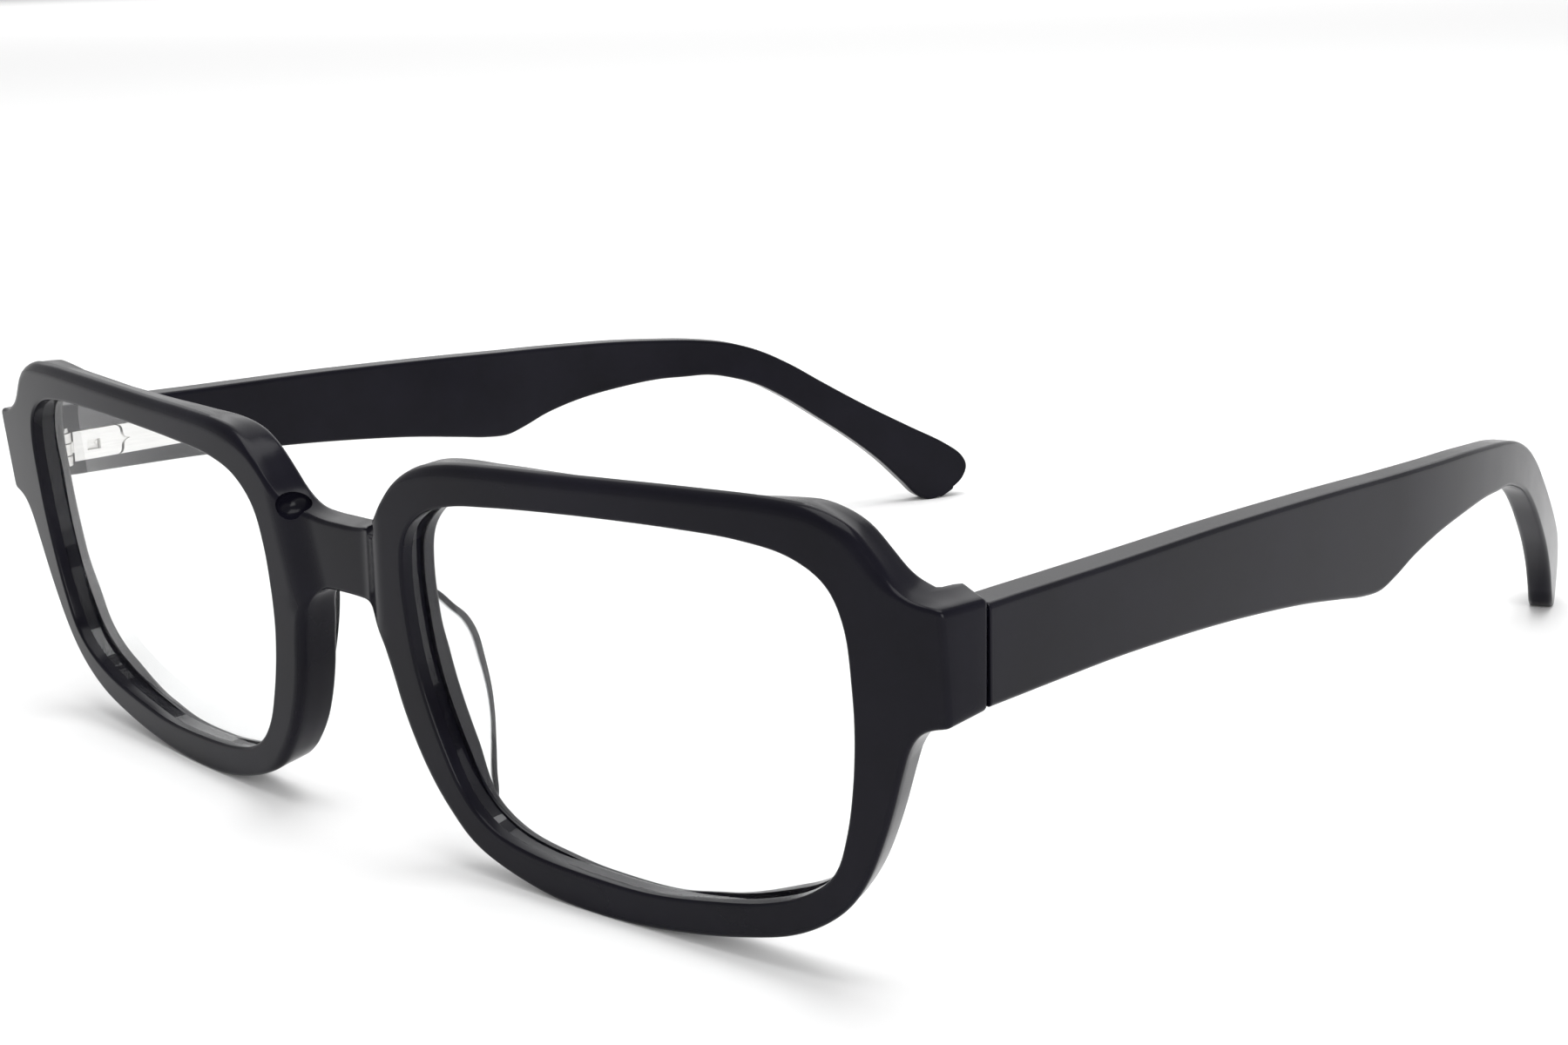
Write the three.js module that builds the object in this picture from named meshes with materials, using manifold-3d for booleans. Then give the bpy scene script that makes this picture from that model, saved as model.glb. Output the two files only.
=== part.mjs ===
// Full-rim acetate eyeglasses with clear lenses, clear nose pads and sprung three-knuckle hinges.
// Millimetres, +Z up, the front faces -Y and the temples run back along +Y.
// The glasses stand open on the bottoms of both rims and on the two temple tips.
import * as THREE from "three";
import { mergeVertices } from "three/addons/utils/BufferGeometryUtils.js";
import { ConvexGeometry } from "three/addons/geometries/ConvexGeometry.js";
import Module from "manifold-3d";

const wasm = await Module();
wasm.setup();

// ---- driving dimensions ----
const BASE_RADIUS = 418; // face-form radius of the front
const TILT = THREE.MathUtils.degToRad(5.05); // pantoscopic lean of the front
const EYE_LEVEL = 20.41; // height of the lens centre line over the table
const FRONT_DEPTH = 4.2; // front face to rear face of the rims
const RIM_BEVEL = 0.4;
const BRIDGE_STEP = 1.35; // how far the bridge sits behind the rim faces
const GROOVE = { from: 1.2, to: 3.1, bite: 0.9 }; // lens groove, depths from the front face
const LENS = { from: 1.45, to: 2.85, bite: 0.6 };
const JOINT_OUT = 9.7; // mitre between end piece and temple, y at the outer face
const JOINT_IN = 11.0; // and at the inner face
const JOINT_GAP = 0.2;
const TEMPLE_X = 71.29; // outer face of the temple, carried on to y = 0
const TOE_IN = THREE.MathUtils.degToRad(2.935); // each temple runs inwards by this angle
const CURL_FROM = 78; // the temple starts to curl inwards here
const CURL = 0.0026; // curl, per mm
const TEMPLE_BEVEL = 0.5;
const PIVOT = { x: 66.6, y: 9.9, z: 28.8 }; // hinge axis, and the mid height of its knuckles
const KNUCKLE_R = 1.2;
const SCREW_R = 0.55;
const SCREW_CLEARANCE = 0.07;
const FIT = 0.15; // working gap round the hinge parts
const TEMPLE_OUT = 4.17; // pivot to the outer face of the temple
const TEMPLE_IN = 0.57; // pivot to its inner face
const BOX = { from: 1.7, to: 8.3, half: 1.55, inner: 0.25, outer: 2.95, wall: 0.5 }; // spring box
const TUBE = { r: 1.0, bore: 0.8, to: 12.9 }; // spring tube behind the box
const COVER = { half: 1.75, thick: 0.6, to: 16.8, seam: 0.32 }; // cover plates on the temple's inner face
const CORE_R = 0.55;

// Half outline of the front, (across, up) from the middle of the bridge round to its underside.
const FRONT_OUTLINE = [
  [0, 11], [2.6, 11.05], [5.2, 11.5], [7.3, 12.75], [9.15, 14.75], [11.35, 16.95], [14, 18.45],
  [17.5, 19.25], [23.8, 19.7], [30, 19.9], [39.2, 20.2], [48, 20.4], [55, 20.4], [59.2, 20],
  [62.3, 18.7], [64.4, 16.5], [66.2, 14.4], [68.2, 13.5], [70.2, 13.3], [70.2, 3.6], [68.8, 3.3],
  [67.6, 2.7], [66.6, 1.4], [65.6, -1.2], [64.4, -4.7], [63.1, -7.9], [61.6, -10.9], [59.8, -13.4],
  [57.2, -15.6], [53.5, -17.5], [48.2, -18.9], [42.6, -19.9], [36, -20.6], [31, -20.72],
  [26, -20.4], [21.6, -19.5], [18, -18.35], [15, -16.9], [12.9, -14.8], [11, -12], [9.45, -8.75],
  [8.15, -5.3], [6.95, -1.6], [6, 1.3], [5, 3], [3.8, 3.8], [2.2, 4], [0, 4.05],
];
// The lens opening, (across, up), temple side first.
const OPENING = [
  [61.65, 5.5], [61.35, 10.9], [60, 14], [56.9, 15.9], [52, 16.75], [45.5, 16.95], [34.6, 16.75],
  [24, 16.15], [18.4, 15.5], [14.4, 14.1], [11.9, 11.5], [11, 7.8], [10.9, 3.5], [11.2, -0.5],
  [12.1, -4.5], [13.45, -8.4], [15, -11.7], [17, -14.1], [19.8, -15.7], [23.8, -16.6],
  [31.2, -17.1], [38, -17.1], [45, -16.2], [51, -15], [55.6, -13.2], [58.45, -10.8], [60, -7],
  [61, -2.5], [61.55, 2],
];
// Side view of the temple: top edge and bottom edge, (back, up), in pairs from the hinge to the tip.
const TEMPLE_SIDE = [
  [9.75, 33.75, 9.75, 25.4], [14, 33.65, 14, 25.3], [20, 33.45, 20, 25.15], [28, 33.2, 28, 24.9],
  [36, 33, 36, 24.45], [44, 32.8, 44, 23.85], [52, 32.5, 52, 23.05], [60, 32.15, 60, 22.05],
  [67, 31.8, 67, 20.9], [71.5, 31.55, 71.5, 20.15], [75, 31.35, 75, 19.95], [78, 31.2, 78, 20.65],
  [82, 31, 82, 21.9], [88, 30.65, 88, 23.2], [95, 30.2, 95, 24.05], [102, 29.55, 101.5, 24.35],
  [108, 28.85, 106, 24.1], [113.5, 27.8, 110, 23.5], [118.5, 26.1, 113.8, 22.6],
  [123.5, 23.55, 117.8, 21.2], [129, 20.1, 122.5, 18.6], [136, 15.8, 128.2, 14.7],
  [143, 11.75, 133.4, 10.9], [148.3, 8.7, 138, 7], [151.2, 6.4, 141.8, 3.1], [152, 4.6, 144, 0.8],
  [151.3, 2.8, 146, -0.1], [149.9, 1.6, 147.6, 0.3],
];
// Lean of the front's outer wall, mm inwards per mm of depth, as (across, lean).
const LEAN_ABOVE = [[0, 0], [13, 0], [22, 0.13], [32, 0.2], [40, 0.24], [52, 0.22], [58, 0.08], [67, 0], [80, 0]];
const LEAN_BELOW = [[0, 0], [13, 0], [18, 0.14], [24, 0.14], [30, 0.08], [56, 0.08], [66, 0.12], [67, 0], [80, 0]];
// Rear edge of a nose pad, (up, across, depth), and the line it grows from, (up, across).
const PAD_EDGE = [
  [5.6, 8.4, 4.1], [4.6, 9.1, 5.5], [3.1, 9.85, 6.5], [2.0, 10.7, 7.15], [0.4, 11.45, 7.5],
  [-2.2, 12.1, 7.5], [-5.0, 12.75, 7.3], [-7.5, 13.25, 6.85], [-10.0, 13.8, 6.1], [-12.5, 14.5, 5.15],
  [-13.9, 15.1, 4.6], [-15.2, 15.6, 3.9],
];
const PAD_ROOT = [[-15.2, 15.4], [-12.5, 14.1], [-7.5, 11.2], [-2.2, 9.0], [2.0, 8.2], [5.6, 8.2]];
const TEMPLE_THICKNESS = [[0, 3.6], [25, 3.5], [60, 3.2], [100, 2.9], [160, 2.9]]; // (back, thickness)

// ---- solids ----
function solid(geometry) {
  const raw = geometry.index ? geometry.toNonIndexed() : geometry;
  const bare = new THREE.BufferGeometry().setAttribute("position", raw.getAttribute("position"));
  const merged = mergeVertices(bare, 1e-4);
  return new wasm.Manifold(
    new wasm.Mesh({
      numProp: 3,
      vertProperties: new Float32Array(merged.attributes.position.array),
      triVerts: new Uint32Array(merged.index.array),
    }),
  );
}

function geometryOf(manifold) {
  const mesh = manifold.getMesh();
  const geometry = new THREE.BufferGeometry();
  geometry.setAttribute("position", new THREE.BufferAttribute(mesh.vertProperties, 3));
  geometry.setIndex(new THREE.BufferAttribute(mesh.triVerts, 1));
  return geometry;
}

const union = (...parts) => parts.reduce((sum, part) => sum.add(part));
const cut = (body, ...tools) => tools.reduce((left, tool) => left.subtract(tool), body);

// Joins loops of equal length into a closed skin, with a fan over each end.
function loft(loops) {
  const sides = loops[0].length;
  const points = loops.flat();
  const index = [];
  for (let i = 0; i + 1 < loops.length; i++)
    for (let j = 0; j < sides; j++) {
      const a = i * sides + j;
      const b = i * sides + ((j + 1) % sides);
      index.push(a, b, b + sides, a, b + sides, a + sides);
    }
  const last = (loops.length - 1) * sides;
  for (let j = 1; j + 1 < sides; j++) {
    index.push(0, j + 1, j);
    index.push(last, last + j, last + j + 1);
  }
  const geometry = new THREE.BufferGeometry().setFromPoints(points);
  geometry.setIndex(index);
  const made = solid(geometry);
  if (made.volume() > 0) return made;
  for (let i = 0; i < index.length; i += 3) [index[i], index[i + 1]] = [index[i + 1], index[i]];
  geometry.setIndex(index);
  return solid(geometry);
}

// A round bar along a path; side is any direction that the path never follows.
function bar(path, radius, sides, side) {
  return loft(
    path.map((point, i) => {
      const along = path[Math.min(i + 1, path.length - 1)].clone().sub(path[Math.max(i - 1, 0)]);
      const across = along.clone().cross(side).normalize();
      const up = across.clone().cross(along).normalize();
      return Array.from({ length: sides }, (_, k) => {
        const angle = (2 * Math.PI * k) / sides;
        return point
          .clone()
          .addScaledVector(across, radius * Math.cos(angle))
          .addScaledVector(up, radius * Math.sin(angle));
      });
    }),
  );
}

function block(x0, x1, y0, y1, z0, z1) {
  const box = new THREE.BoxGeometry(x1 - x0, y1 - y0, z1 - z0);
  return solid(box.translate((x0 + x1) / 2, (y0 + y1) / 2, (z0 + z1) / 2));
}

function post(x, y, z0, z1, radius, sides = 22) {
  const drum = new THREE.CylinderGeometry(radius, radius, z1 - z0, sides).rotateX(Math.PI / 2);
  return solid(drum.translate(x, y, (z0 + z1) / 2));
}

function rod(a, z, s0, s1, radius, sides = 16) {
  const drum = new THREE.CylinderGeometry(radius, radius, s1 - s0, sides);
  return solid(drum.translate(a, (s0 + s1) / 2, z));
}

// A short round stud that points inwards from the temple.
function stud(from, to, s, radius) {
  const drum = new THREE.CylinderGeometry(radius, radius, to - from, 14).rotateZ(Math.PI / 2);
  return solid(drum.translate((from + to) / 2, s, PIVOT.z));
}

// ---- curves ----
function smooth(points, closed, count) {
  const nodes = points.map(([x, y]) => new THREE.Vector3(x, y, 0));
  const curve = new THREE.CatmullRomCurve3(nodes, closed, "centripetal");
  const samples = curve.getPoints(count);
  if (closed) samples.pop();
  return samples.map((p) => new THREE.Vector2(p.x, p.y));
}

function offset(loop, distance) {
  const area = THREE.ShapeUtils.area(loop);
  return loop.map((p, i) => {
    const before = loop[(i + loop.length - 1) % loop.length];
    const after = loop[(i + 1) % loop.length];
    const run = after.clone().sub(before).normalize();
    const far = typeof distance === "function" ? distance(p) : distance;
    return new THREE.Vector2(run.y, -run.x).multiplyScalar(Math.sign(area) * far).add(p);
  });
}

function valueAt(table, key) {
  const i = Math.max(1, table.findIndex(([k]) => k >= key));
  const [k0, v0] = table[i - 1];
  const [k1, v1] = table[i];
  return v0 + ((v1 - v0) * (key - k0)) / (k1 - k0);
}

// ---- the front: drawn flat as (across, up, -depth), then bent to its face form and leant back ----
function frontPoint(across, up, depth) {
  const angle = across / BASE_RADIUS;
  const x = (BASE_RADIUS - depth) * Math.sin(angle);
  const back = BASE_RADIUS - (BASE_RADIUS - depth) * Math.cos(angle);
  const y = back * Math.cos(TILT) - up * Math.sin(TILT);
  return new THREE.Vector3(x, y, up * Math.cos(TILT) + back * Math.sin(TILT) + EYE_LEVEL);
}

function bend(manifold) {
  const geometry = geometryOf(manifold);
  const position = geometry.getAttribute("position");
  for (let i = 0; i < position.count; i++) {
    const p = frontPoint(position.getX(i), position.getY(i), -position.getZ(i));
    position.setXYZ(i, p.x, p.y, p.z);
  }
  return solid(geometry);
}

const mirrorLoop = (loop) => loop.map((p) => new THREE.Vector2(-p.x, p.y)).reverse();
const anticlockwise = (loop) => (THREE.ShapeUtils.area(loop) > 0 ? loop : loop.toReversed());
const opening = smooth(OPENING, true, 58);

function frontOutline() {
  const turn = FRONT_OUTLINE.findIndex(([x], i) => x === 70.2 && FRONT_OUTLINE[i + 1][0] === 70.2);
  const upper = smooth(FRONT_OUTLINE.slice(0, turn + 1), false, 34);
  const lower = smooth(FRONT_OUTLINE.slice(turn + 1), false, 50);
  const half = [...upper, ...lower];
  const other = half.slice(1, -1).map((p) => new THREE.Vector2(-p.x, p.y)).reverse();
  return [...half, ...other];
}

// The rims, bridge and end pieces in the flat. Every wall is a stack of rows of (inset, depth) that
// runs from the front face to the rear face; the lens groove is part of the opening's rows.
function rimPlate() {
  const lean = (p) => valueAt(p.y > 3 ? LEAN_ABOVE : LEAN_BELOW, Math.abs(p.x));
  const rear = FRONT_DEPTH - RIM_BEVEL;
  const { from, to, bite } = GROOVE;
  const outer = [[() => -RIM_BEVEL, 0], [() => 0, RIM_BEVEL], [(p) => -lean(p) * rear, rear],
    [(p) => -lean(p) * rear - RIM_BEVEL, FRONT_DEPTH]];
  const inner = [[0.3, 0], [0, 0.3], [0, from], [bite, from], [bite, to], [0, to], [0, rear], [RIM_BEVEL, FRONT_DEPTH]];
  const points = [];
  const index = [];
  const front = [];
  const back = [];
  const walls = [[frontOutline(), outer], [opening, inner], [mirrorLoop(opening), inner]];
  walls.forEach(([loop, rows], wall) => {
    const path = anticlockwise(loop);
    const n = path.length;
    rows.forEach(([inset, depth], row) => {
      const ring = offset(path, inset);
      const start = points.length;
      for (const p of ring) points.push(new THREE.Vector3(p.x, p.y, -depth));
      if (row === 0) front.push({ ring, start });
      if (row === rows.length - 1) back.push({ ring, start });
      for (let i = 0; row && i < n; i++) {
        const [a, b] = [start - n + i, start - n + ((i + 1) % n)];
        if (wall) index.push(a, b, b + n, a, b + n, a + n);
        else index.push(a, b + n, b, a, a + n, b + n);
      }
    });
  });
  for (const [face, flip] of [[front, false], [back, true]]) {
    const numbers = face.flatMap(({ ring, start }) => ring.map((_, i) => start + i));
    const [contour, ...holes] = face.map(({ ring }) => ring.map((p) => p.clone()));
    for (const [a, b, c] of THREE.ShapeUtils.triangulateShape(contour, holes))
      index.push(numbers[a], numbers[flip ? c : b], numbers[flip ? b : c]);
  }
  const geometry = new THREE.BufferGeometry().setFromPoints(points);
  geometry.setIndex(index);
  return solid(geometry);
}

function bridgeStep() {
  const corners = [];
  for (const side of [-1, 1])
    for (const [depth, low, high] of [[-1, 7.43, 9.23], [BRIDGE_STEP, 4.12, 5.92]])
      corners.push(
        new THREE.Vector3(side * low, 2, -depth),
        new THREE.Vector3(side * high, 14.5, -depth),
      );
  return solid(new ConvexGeometry(corners));
}

function lensSolid(side) {
  const rings = [0.4, 0.78, 1];
  const rim = offset(opening, LENS.bite).map((p) => new THREE.Vector2(side * p.x, p.y));
  const middle = new THREE.Vector2(side * 36.5, 0);
  const n = rim.length;
  const points = [];
  const index = [];
  for (const depth of [LENS.from, LENS.to]) {
    points.push(frontPoint(middle.x, middle.y, depth));
    for (const t of rings)
      for (const p of rim) {
        const q = middle.clone().lerp(p, t);
        points.push(frontPoint(q.x, q.y, depth));
      }
  }
  const face = 1 + rings.length * n;
  const quad = (a, b, c, d) => index.push(a, b, c, a, c, d);
  for (const [start, flip] of [[0, false], [face, true]])
    for (let j = 0; j < n; j++) {
      const k = (j + 1) % n;
      index.push(start, start + 1 + (flip ? k : j), start + 1 + (flip ? j : k));
      for (let r = 0; r + 1 < rings.length; r++) {
        const [a, b] = [start + 1 + r * n + j, start + 1 + r * n + k];
        if (flip) quad(a, b, b + n, a + n);
        else quad(a, a + n, b + n, b);
      }
    }
  const edge = 1 + (rings.length - 1) * n;
  for (let j = 0; j < n; j++) {
    const k = (j + 1) % n;
    quad(edge + j, face + edge + j, face + edge + k, edge + k);
  }
  const geometry = new THREE.BufferGeometry().setFromPoints(points);
  geometry.setIndex(index);
  const made = solid(geometry);
  if (made.volume() > 0) return made;
  for (let i = 0; i < index.length; i += 3) [index[i], index[i + 1]] = [index[i + 1], index[i]];
  geometry.setIndex(index);
  return solid(geometry);
}

// ---- placing the sides: drawn for the wearer's left (+X), mirrored for the right ----
function placed(manifold) {
  const geometry = geometryOf(manifold).rotateZ(TOE_IN).translate(PIVOT.x, PIVOT.y, 0);
  return solid(geometry);
}

function mirrored(manifold) {
  const geometry = geometryOf(manifold).scale(-1, 1, 1);
  const index = geometry.index.array;
  for (let i = 0; i < index.length; i += 3) [index[i], index[i + 1]] = [index[i + 1], index[i]];
  return solid(geometry);
}

const bothSides = (make) => {
  const left = make();
  return { left, right: mirrored(left) };
};

// ---- end pieces and hinge ----
function endPieceBlock() {
  const corners = [];
  const foot = 25.0;
  const top = 33.9;
  for (const [x, y] of [[70.3, 5.4], [70.78, JOINT_OUT - JOINT_GAP], [66.95, JOINT_IN - JOINT_GAP]])
    corners.push(new THREE.Vector3(x, y, foot), new THREE.Vector3(x, y, top));
  corners.push(new THREE.Vector3(66.95, 6.5, foot - 0.6), new THREE.Vector3(66.95, 6.5, top + 0.1));
  corners.push(new THREE.Vector3(70.3, 5.4, foot - 0.8));
  return solid(new ConvexGeometry(corners));
}

const Z = PIVOT.z;
const LEVELS = { base: 1.9, split: 0.8, middle: 0.65 }; // knuckle heights either side of mid height

function frontHinge(grow = 0) {
  const { x, y } = PIVOT;
  const parts = [block(66 - grow, 69.3 + grow, 6.7 - grow, 8.5 + grow,
    Z - LEVELS.base - grow, Z + LEVELS.base + grow)];
  for (const side of [-1, 1]) {
    const [z0, z1] = [side * LEVELS.split, side * LEVELS.base].sort((a, b) => a - b);
    parts.push(post(x, y, Z + z0 - grow, Z + z1 + grow, KNUCKLE_R + grow));
    parts.push(block(x - 0.4 - grow, x + 1.6 + grow, 8.3, y + 0.2 + grow,
      Z + z0 - grow, Z + z1 + grow));
  }
  const body = union(...parts);
  return grow ? body : cut(body, post(x, y, Z - 3, Z + 3, SCREW_R + SCREW_CLEARANCE));
}

function hingeScrew() {
  const { x, y } = PIVOT;
  const head = post(x, y, Z + 2.0, Z + 2.5, 0.95);
  const slot = block(x - 1.2, x + 1.2, y - 0.14, y + 0.14, Z + 2.25, Z + 2.7);
  return cut(union(post(x, y, Z - 2.15, Z + 2.2, SCREW_R), head), slot);
}

const BOX_MID = (BOX.inner + BOX.outer) / 2;

// A flat sheet of metal: an outline of (along, up) points, from one depth to another.
function sheet(outline, from, to) {
  const shape = new THREE.Shape(outline.map(([x, y]) => new THREE.Vector2(x, y)));
  const geometry = new THREE.ExtrudeGeometry(shape, { depth: to - from, bevelEnabled: false });
  const position = geometry.getAttribute("position");
  for (let i = 0; i < position.count; i++)
    position.setXYZ(i, position.getZ(i) + from, position.getX(i), Z + position.getY(i));
  return solid(geometry);
}

// Half of the brace-shaped edge between the two cover plates, from the rim of the plates to the middle.
function braceEdge(shift) {
  const h = COVER.half;
  const nodes = [[7.1, h], [7.45, h - 0.14], [7.68, h - 0.46], [7.75, 0.8], [7.84, 0.46], [8.08, 0.17], [8.6, 0]];
  return smooth(nodes, false, 12).map((p) => [p.x + shift, p.y]);
}

function coverPlates() {
  const { half, thick, to, seam } = COVER;
  const [upper, rearUpper] = [braceEdge(0), braceEdge(seam)];
  const below = (edge) => edge.slice(0, -1).toReversed().map(([s, z]) => [s, -z]);
  const front = [[BOX.from, -half], [BOX.from, half], ...upper, ...below(upper)];
  const rear = [[to - 0.5, half], [to, half - 0.5], [to, 0.5 - half], [to - 0.5, -half],
    ...below(rearUpper).toReversed(), ...rearUpper.toReversed()];
  return union(
    sheet(front.toReversed(), BOX.inner, BOX.inner + thick),
    sheet(rear.toReversed(), BOX.inner, BOX.inner + thick),
  );
}

function springBox() {
  const { from, to, half, inner, outer, wall } = BOX;
  return cut(
    union(
      block(inner + 0.3, outer, from, to - 0.7, Z - half, Z + half),
      coverPlates(),
      rod(BOX_MID, Z, to - 1, TUBE.to, TUBE.r),
    ),
    block(inner + wall, outer - wall, from - 1, to - 1.2, Z - half + wall, Z + half - wall),
    block(inner - 1, inner + 1, 3.4, 5.1, Z - 0.7, Z + 0.5),
    rod(BOX_MID, Z, to - 2, to, 0.42),
    rod(BOX_MID, Z, to - 0.4, TUBE.to + 1, TUBE.bore),
  );
}

function carriage() {
  const { inner, outer, wall, half } = BOX;
  const [a0, a1] = [inner + wall + FIT, outer - wall - FIT];
  const height = half - wall - FIT;
  return cut(
    union(
      placed(
        union(
          block(a0, a1, 1.0, 5.2, Z - LEVELS.middle, Z + LEVELS.middle),
          block(a0, a1, 2.0, 5.2, Z - height, Z + height),
          block(0, a1, 0, 1.55, Z - LEVELS.middle, Z + LEVELS.middle),
          stud(a0 - 0.25, a0 + 0.2, 4.8, 0.18),
        ),
      ),
      post(PIVOT.x, PIVOT.y, Z - LEVELS.middle, Z + LEVELS.middle, KNUCKLE_R),
    ),
    post(PIVOT.x, PIVOT.y, Z - 3, Z + 3, SCREW_R + SCREW_CLEARANCE),
    placed(rod(BOX_MID, Z, 4, 6, 0.42)),
  );
}

function plunger() {
  return placed(union(rod(BOX_MID, Z, 4.15, 11.9, 0.3, 16), rod(BOX_MID, Z, 11.75, 12.25, 0.62)));
}

function coil() {
  const turns = 6;
  const [from, to] = [8.15, 11.5];
  const steps = turns * 9;
  const path = Array.from({ length: steps + 1 }, (_, i) => {
    const angle = (2 * Math.PI * turns * i) / steps;
    return new THREE.Vector3(
      BOX_MID + 0.54 * Math.cos(angle),
      from + ((to - from) * i) / steps,
      Z + 0.54 * Math.sin(angle),
    );
  });
  return placed(bar(path, 0.13, 4, new THREE.Vector3(0, 1, 0)));
}

// ---- temples ----
function planX(y) {
  const past = Math.max(0, y - CURL_FROM);
  return TEMPLE_X - Math.tan(TOE_IN) * y - CURL * past * past;
}

// A point on the temple: (back, up) on its outer face, moved inwards by depth.
function templePoint(y, z, depth) {
  const slope = -Math.tan(TOE_IN) - 2 * CURL * Math.max(0, y - CURL_FROM);
  const length = Math.hypot(slope, 1);
  return new THREE.Vector3(planX(y) - depth / length, y + (depth * slope) / length, z);
}

function templeStations() {
  const tops = smooth(TEMPLE_SIDE.map(([y, z]) => [y, z]), false, 46);
  const feet = smooth(TEMPLE_SIDE.map(([, , y, z]) => [y, z]), false, 46);
  return tops.map((top, i) => [top, feet[i]]);
}

function templeBlank() {
  return loft(
    templeStations().map(([top, foot]) => {
      const thickness = valueAt(TEMPLE_THICKNESS, (top.x + foot.x) / 2);
      const height = top.distanceTo(foot);
      const c = Math.min(TEMPLE_BEVEL, height / 4);
      const ring = [
        [c, 0], [height - c, 0], [height, c], [height, thickness - c],
        [height - c, thickness], [c, thickness], [0, thickness - c], [0, c],
      ];
      return ring.map(([h, depth]) => {
        const p = foot.clone().lerp(top, h / height);
        return templePoint(p.x, p.y, depth);
      });
    }),
  );
}

function corePath() {
  const path = [new THREE.Vector3(BOX_MID, 13.4, Z)].map((p) =>
    p.applyAxisAngle(new THREE.Vector3(0, 0, 1), TOE_IN).add(new THREE.Vector3(PIVOT.x, PIVOT.y, 0)));
  const mids = templeStations().map(([top, foot]) => top.clone().lerp(foot, 0.55));
  for (const mid of mids.filter((p) => p.x > 32 && p.x < 136))
    path.push(templePoint(mid.x, mid.y, valueAt(TEMPLE_THICKNESS, mid.x) / 2));
  const curve = new THREE.CatmullRomCurve3(path, false, "centripetal");
  return curve.getPoints(30);
}

function coreWire(radius, extend) {
  const path = corePath();
  if (extend) {
    const [first, second] = path;
    path.unshift(first.clone().addScaledVector(first.clone().sub(second).normalize(), 1.5));
    const [end, before] = [path.at(-1), path.at(-2)];
    path.push(end.clone().addScaledVector(end.clone().sub(before).normalize(), 0.4));
  }
  return bar(path, radius, 6, new THREE.Vector3(1, 0, 0));
}

function mitreTool() {
  // everything in front of the slanting joint face
  const corners = [];
  const reach = (JOINT_IN - JOINT_OUT) / (70.78 - 66.95);
  for (const z of [0, 60])
    for (const x of [60, 80]) {
      corners.push(new THREE.Vector3(x, -10, z));
      corners.push(new THREE.Vector3(x, JOINT_OUT + reach * (70.78 - x), z));
    }
  return solid(new ConvexGeometry(corners));
}

function temple() {
  const { from, to, half, inner, outer } = BOX;
  const { half: high, thick, to: end } = COVER;
  const g = FIT;
  return cut(
    templeBlank(),
    mitreTool(),
    placed(
      union(
        block(inner - 1, outer + g, -2, to - 0.55, Z - half - g, Z + half + g),
        block(inner - 1, inner + thick + g, 0, end + g, Z - high - g, Z + high + g),
        rod(BOX_MID, Z, from, TUBE.to + 0.6, TUBE.r + g),
      ),
    ),
    post(PIVOT.x, PIVOT.y, Z - 2.2, Z + 2.75, KNUCKLE_R + 0.3),
    coreWire(CORE_R + 0.12, true),
    block(40, 80, 120, 160, -5, 0),
  );
}

// ---- front frame ----
function frontFrame() {
  const flat = cut(rimPlate(), bridgeStep());
  const pockets = union(
    frontHinge(FIT),
    post(PIVOT.x, PIVOT.y, Z - 2.4, Z + 2.75, KNUCKLE_R + 0.3),
    placed(block(-1.4, BOX.outer - BOX.wall + 0.05, -0.3, 4, Z - 0.9, Z + 0.9)),
  );
  const ends = endPieceBlock();
  return cut(
    union(bend(flat), ends, mirrored(ends)),
    pockets,
    mirrored(pockets),
    block(-80, 80, -20, 20, -5, 0),
  );
}

// ---- nose pads: fins behind the nasal side of each rim that lean outwards towards a rounded edge ----
function nosePad() {
  const across = smooth(PAD_EDGE.map(([v, u]) => [v, u]), false, 16);
  const depths = smooth(PAD_EDGE.map(([v, , w]) => [v, w]), false, 16);
  const near = FRONT_DEPTH + 0.1;
  return loft(
    across.map(({ x: up, y: far }, i) => {
      const root = new THREE.Vector2(valueAt(PAD_ROOT, up), near);
      const tip = new THREE.Vector2(far, Math.max(depths[i].y, near + 0.3));
      const run = tip.clone().sub(root).normalize();
      const side = new THREE.Vector2(-run.y, run.x).multiplyScalar(0.5);
      const neck = tip.clone().addScaledVector(run, -0.3);
      neck.y = Math.max(neck.y, near + 0.15 + Math.abs(side.y));
      const ring = [
        new THREE.Vector2(root.x + 0.6, near),
        neck.clone().sub(side),
        tip.clone().addScaledVector(side, -0.45),
        tip.clone().addScaledVector(side, 0.45),
        neck.clone().add(side),
        new THREE.Vector2(root.x - 0.6, near),
      ];
      return ring.map((p) => frontPoint(p.x, up, Math.max(p.y, near)));
    }),
  );
}

// ---- materials ----
const acetate = () =>
  new THREE.MeshStandardMaterial({ color: 0x1a1a1d, roughness: 0.22, metalness: 0 });
const steel = () =>
  new THREE.MeshStandardMaterial({ color: 0xb9bcc0, roughness: 0.3, metalness: 1 });
const clear = () =>
  new THREE.MeshStandardMaterial({
    color: 0xe6eef0, roughness: 0.03, metalness: 0, transparent: true, opacity: 0.3,
  });

// ---- assembly ----
const made = [["front_frame", frontFrame(), acetate]];
const pairs = [
  ["nose_pad", nosePad, clear],
  ["front_hinge", frontHinge, steel],
  ["hinge_screw", hingeScrew, steel],
  ["carriage", carriage, steel],
  ["plunger", plunger, steel],
  ["spring", coil, steel],
  ["temple", temple, acetate],
  ["spring_box", () => placed(springBox()), steel],
  ["core_wire", () => coreWire(CORE_R, false), steel],
];
for (const [side, sign] of [["left", 1], ["right", -1]])
  made.push(["lens_" + side, lensSolid(sign), clear]);
for (const [name, make, material] of pairs) {
  const { left, right } = bothSides(() => make());
  made.push([name + "_left", left, material], [name + "_right", right, material]);
}

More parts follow.
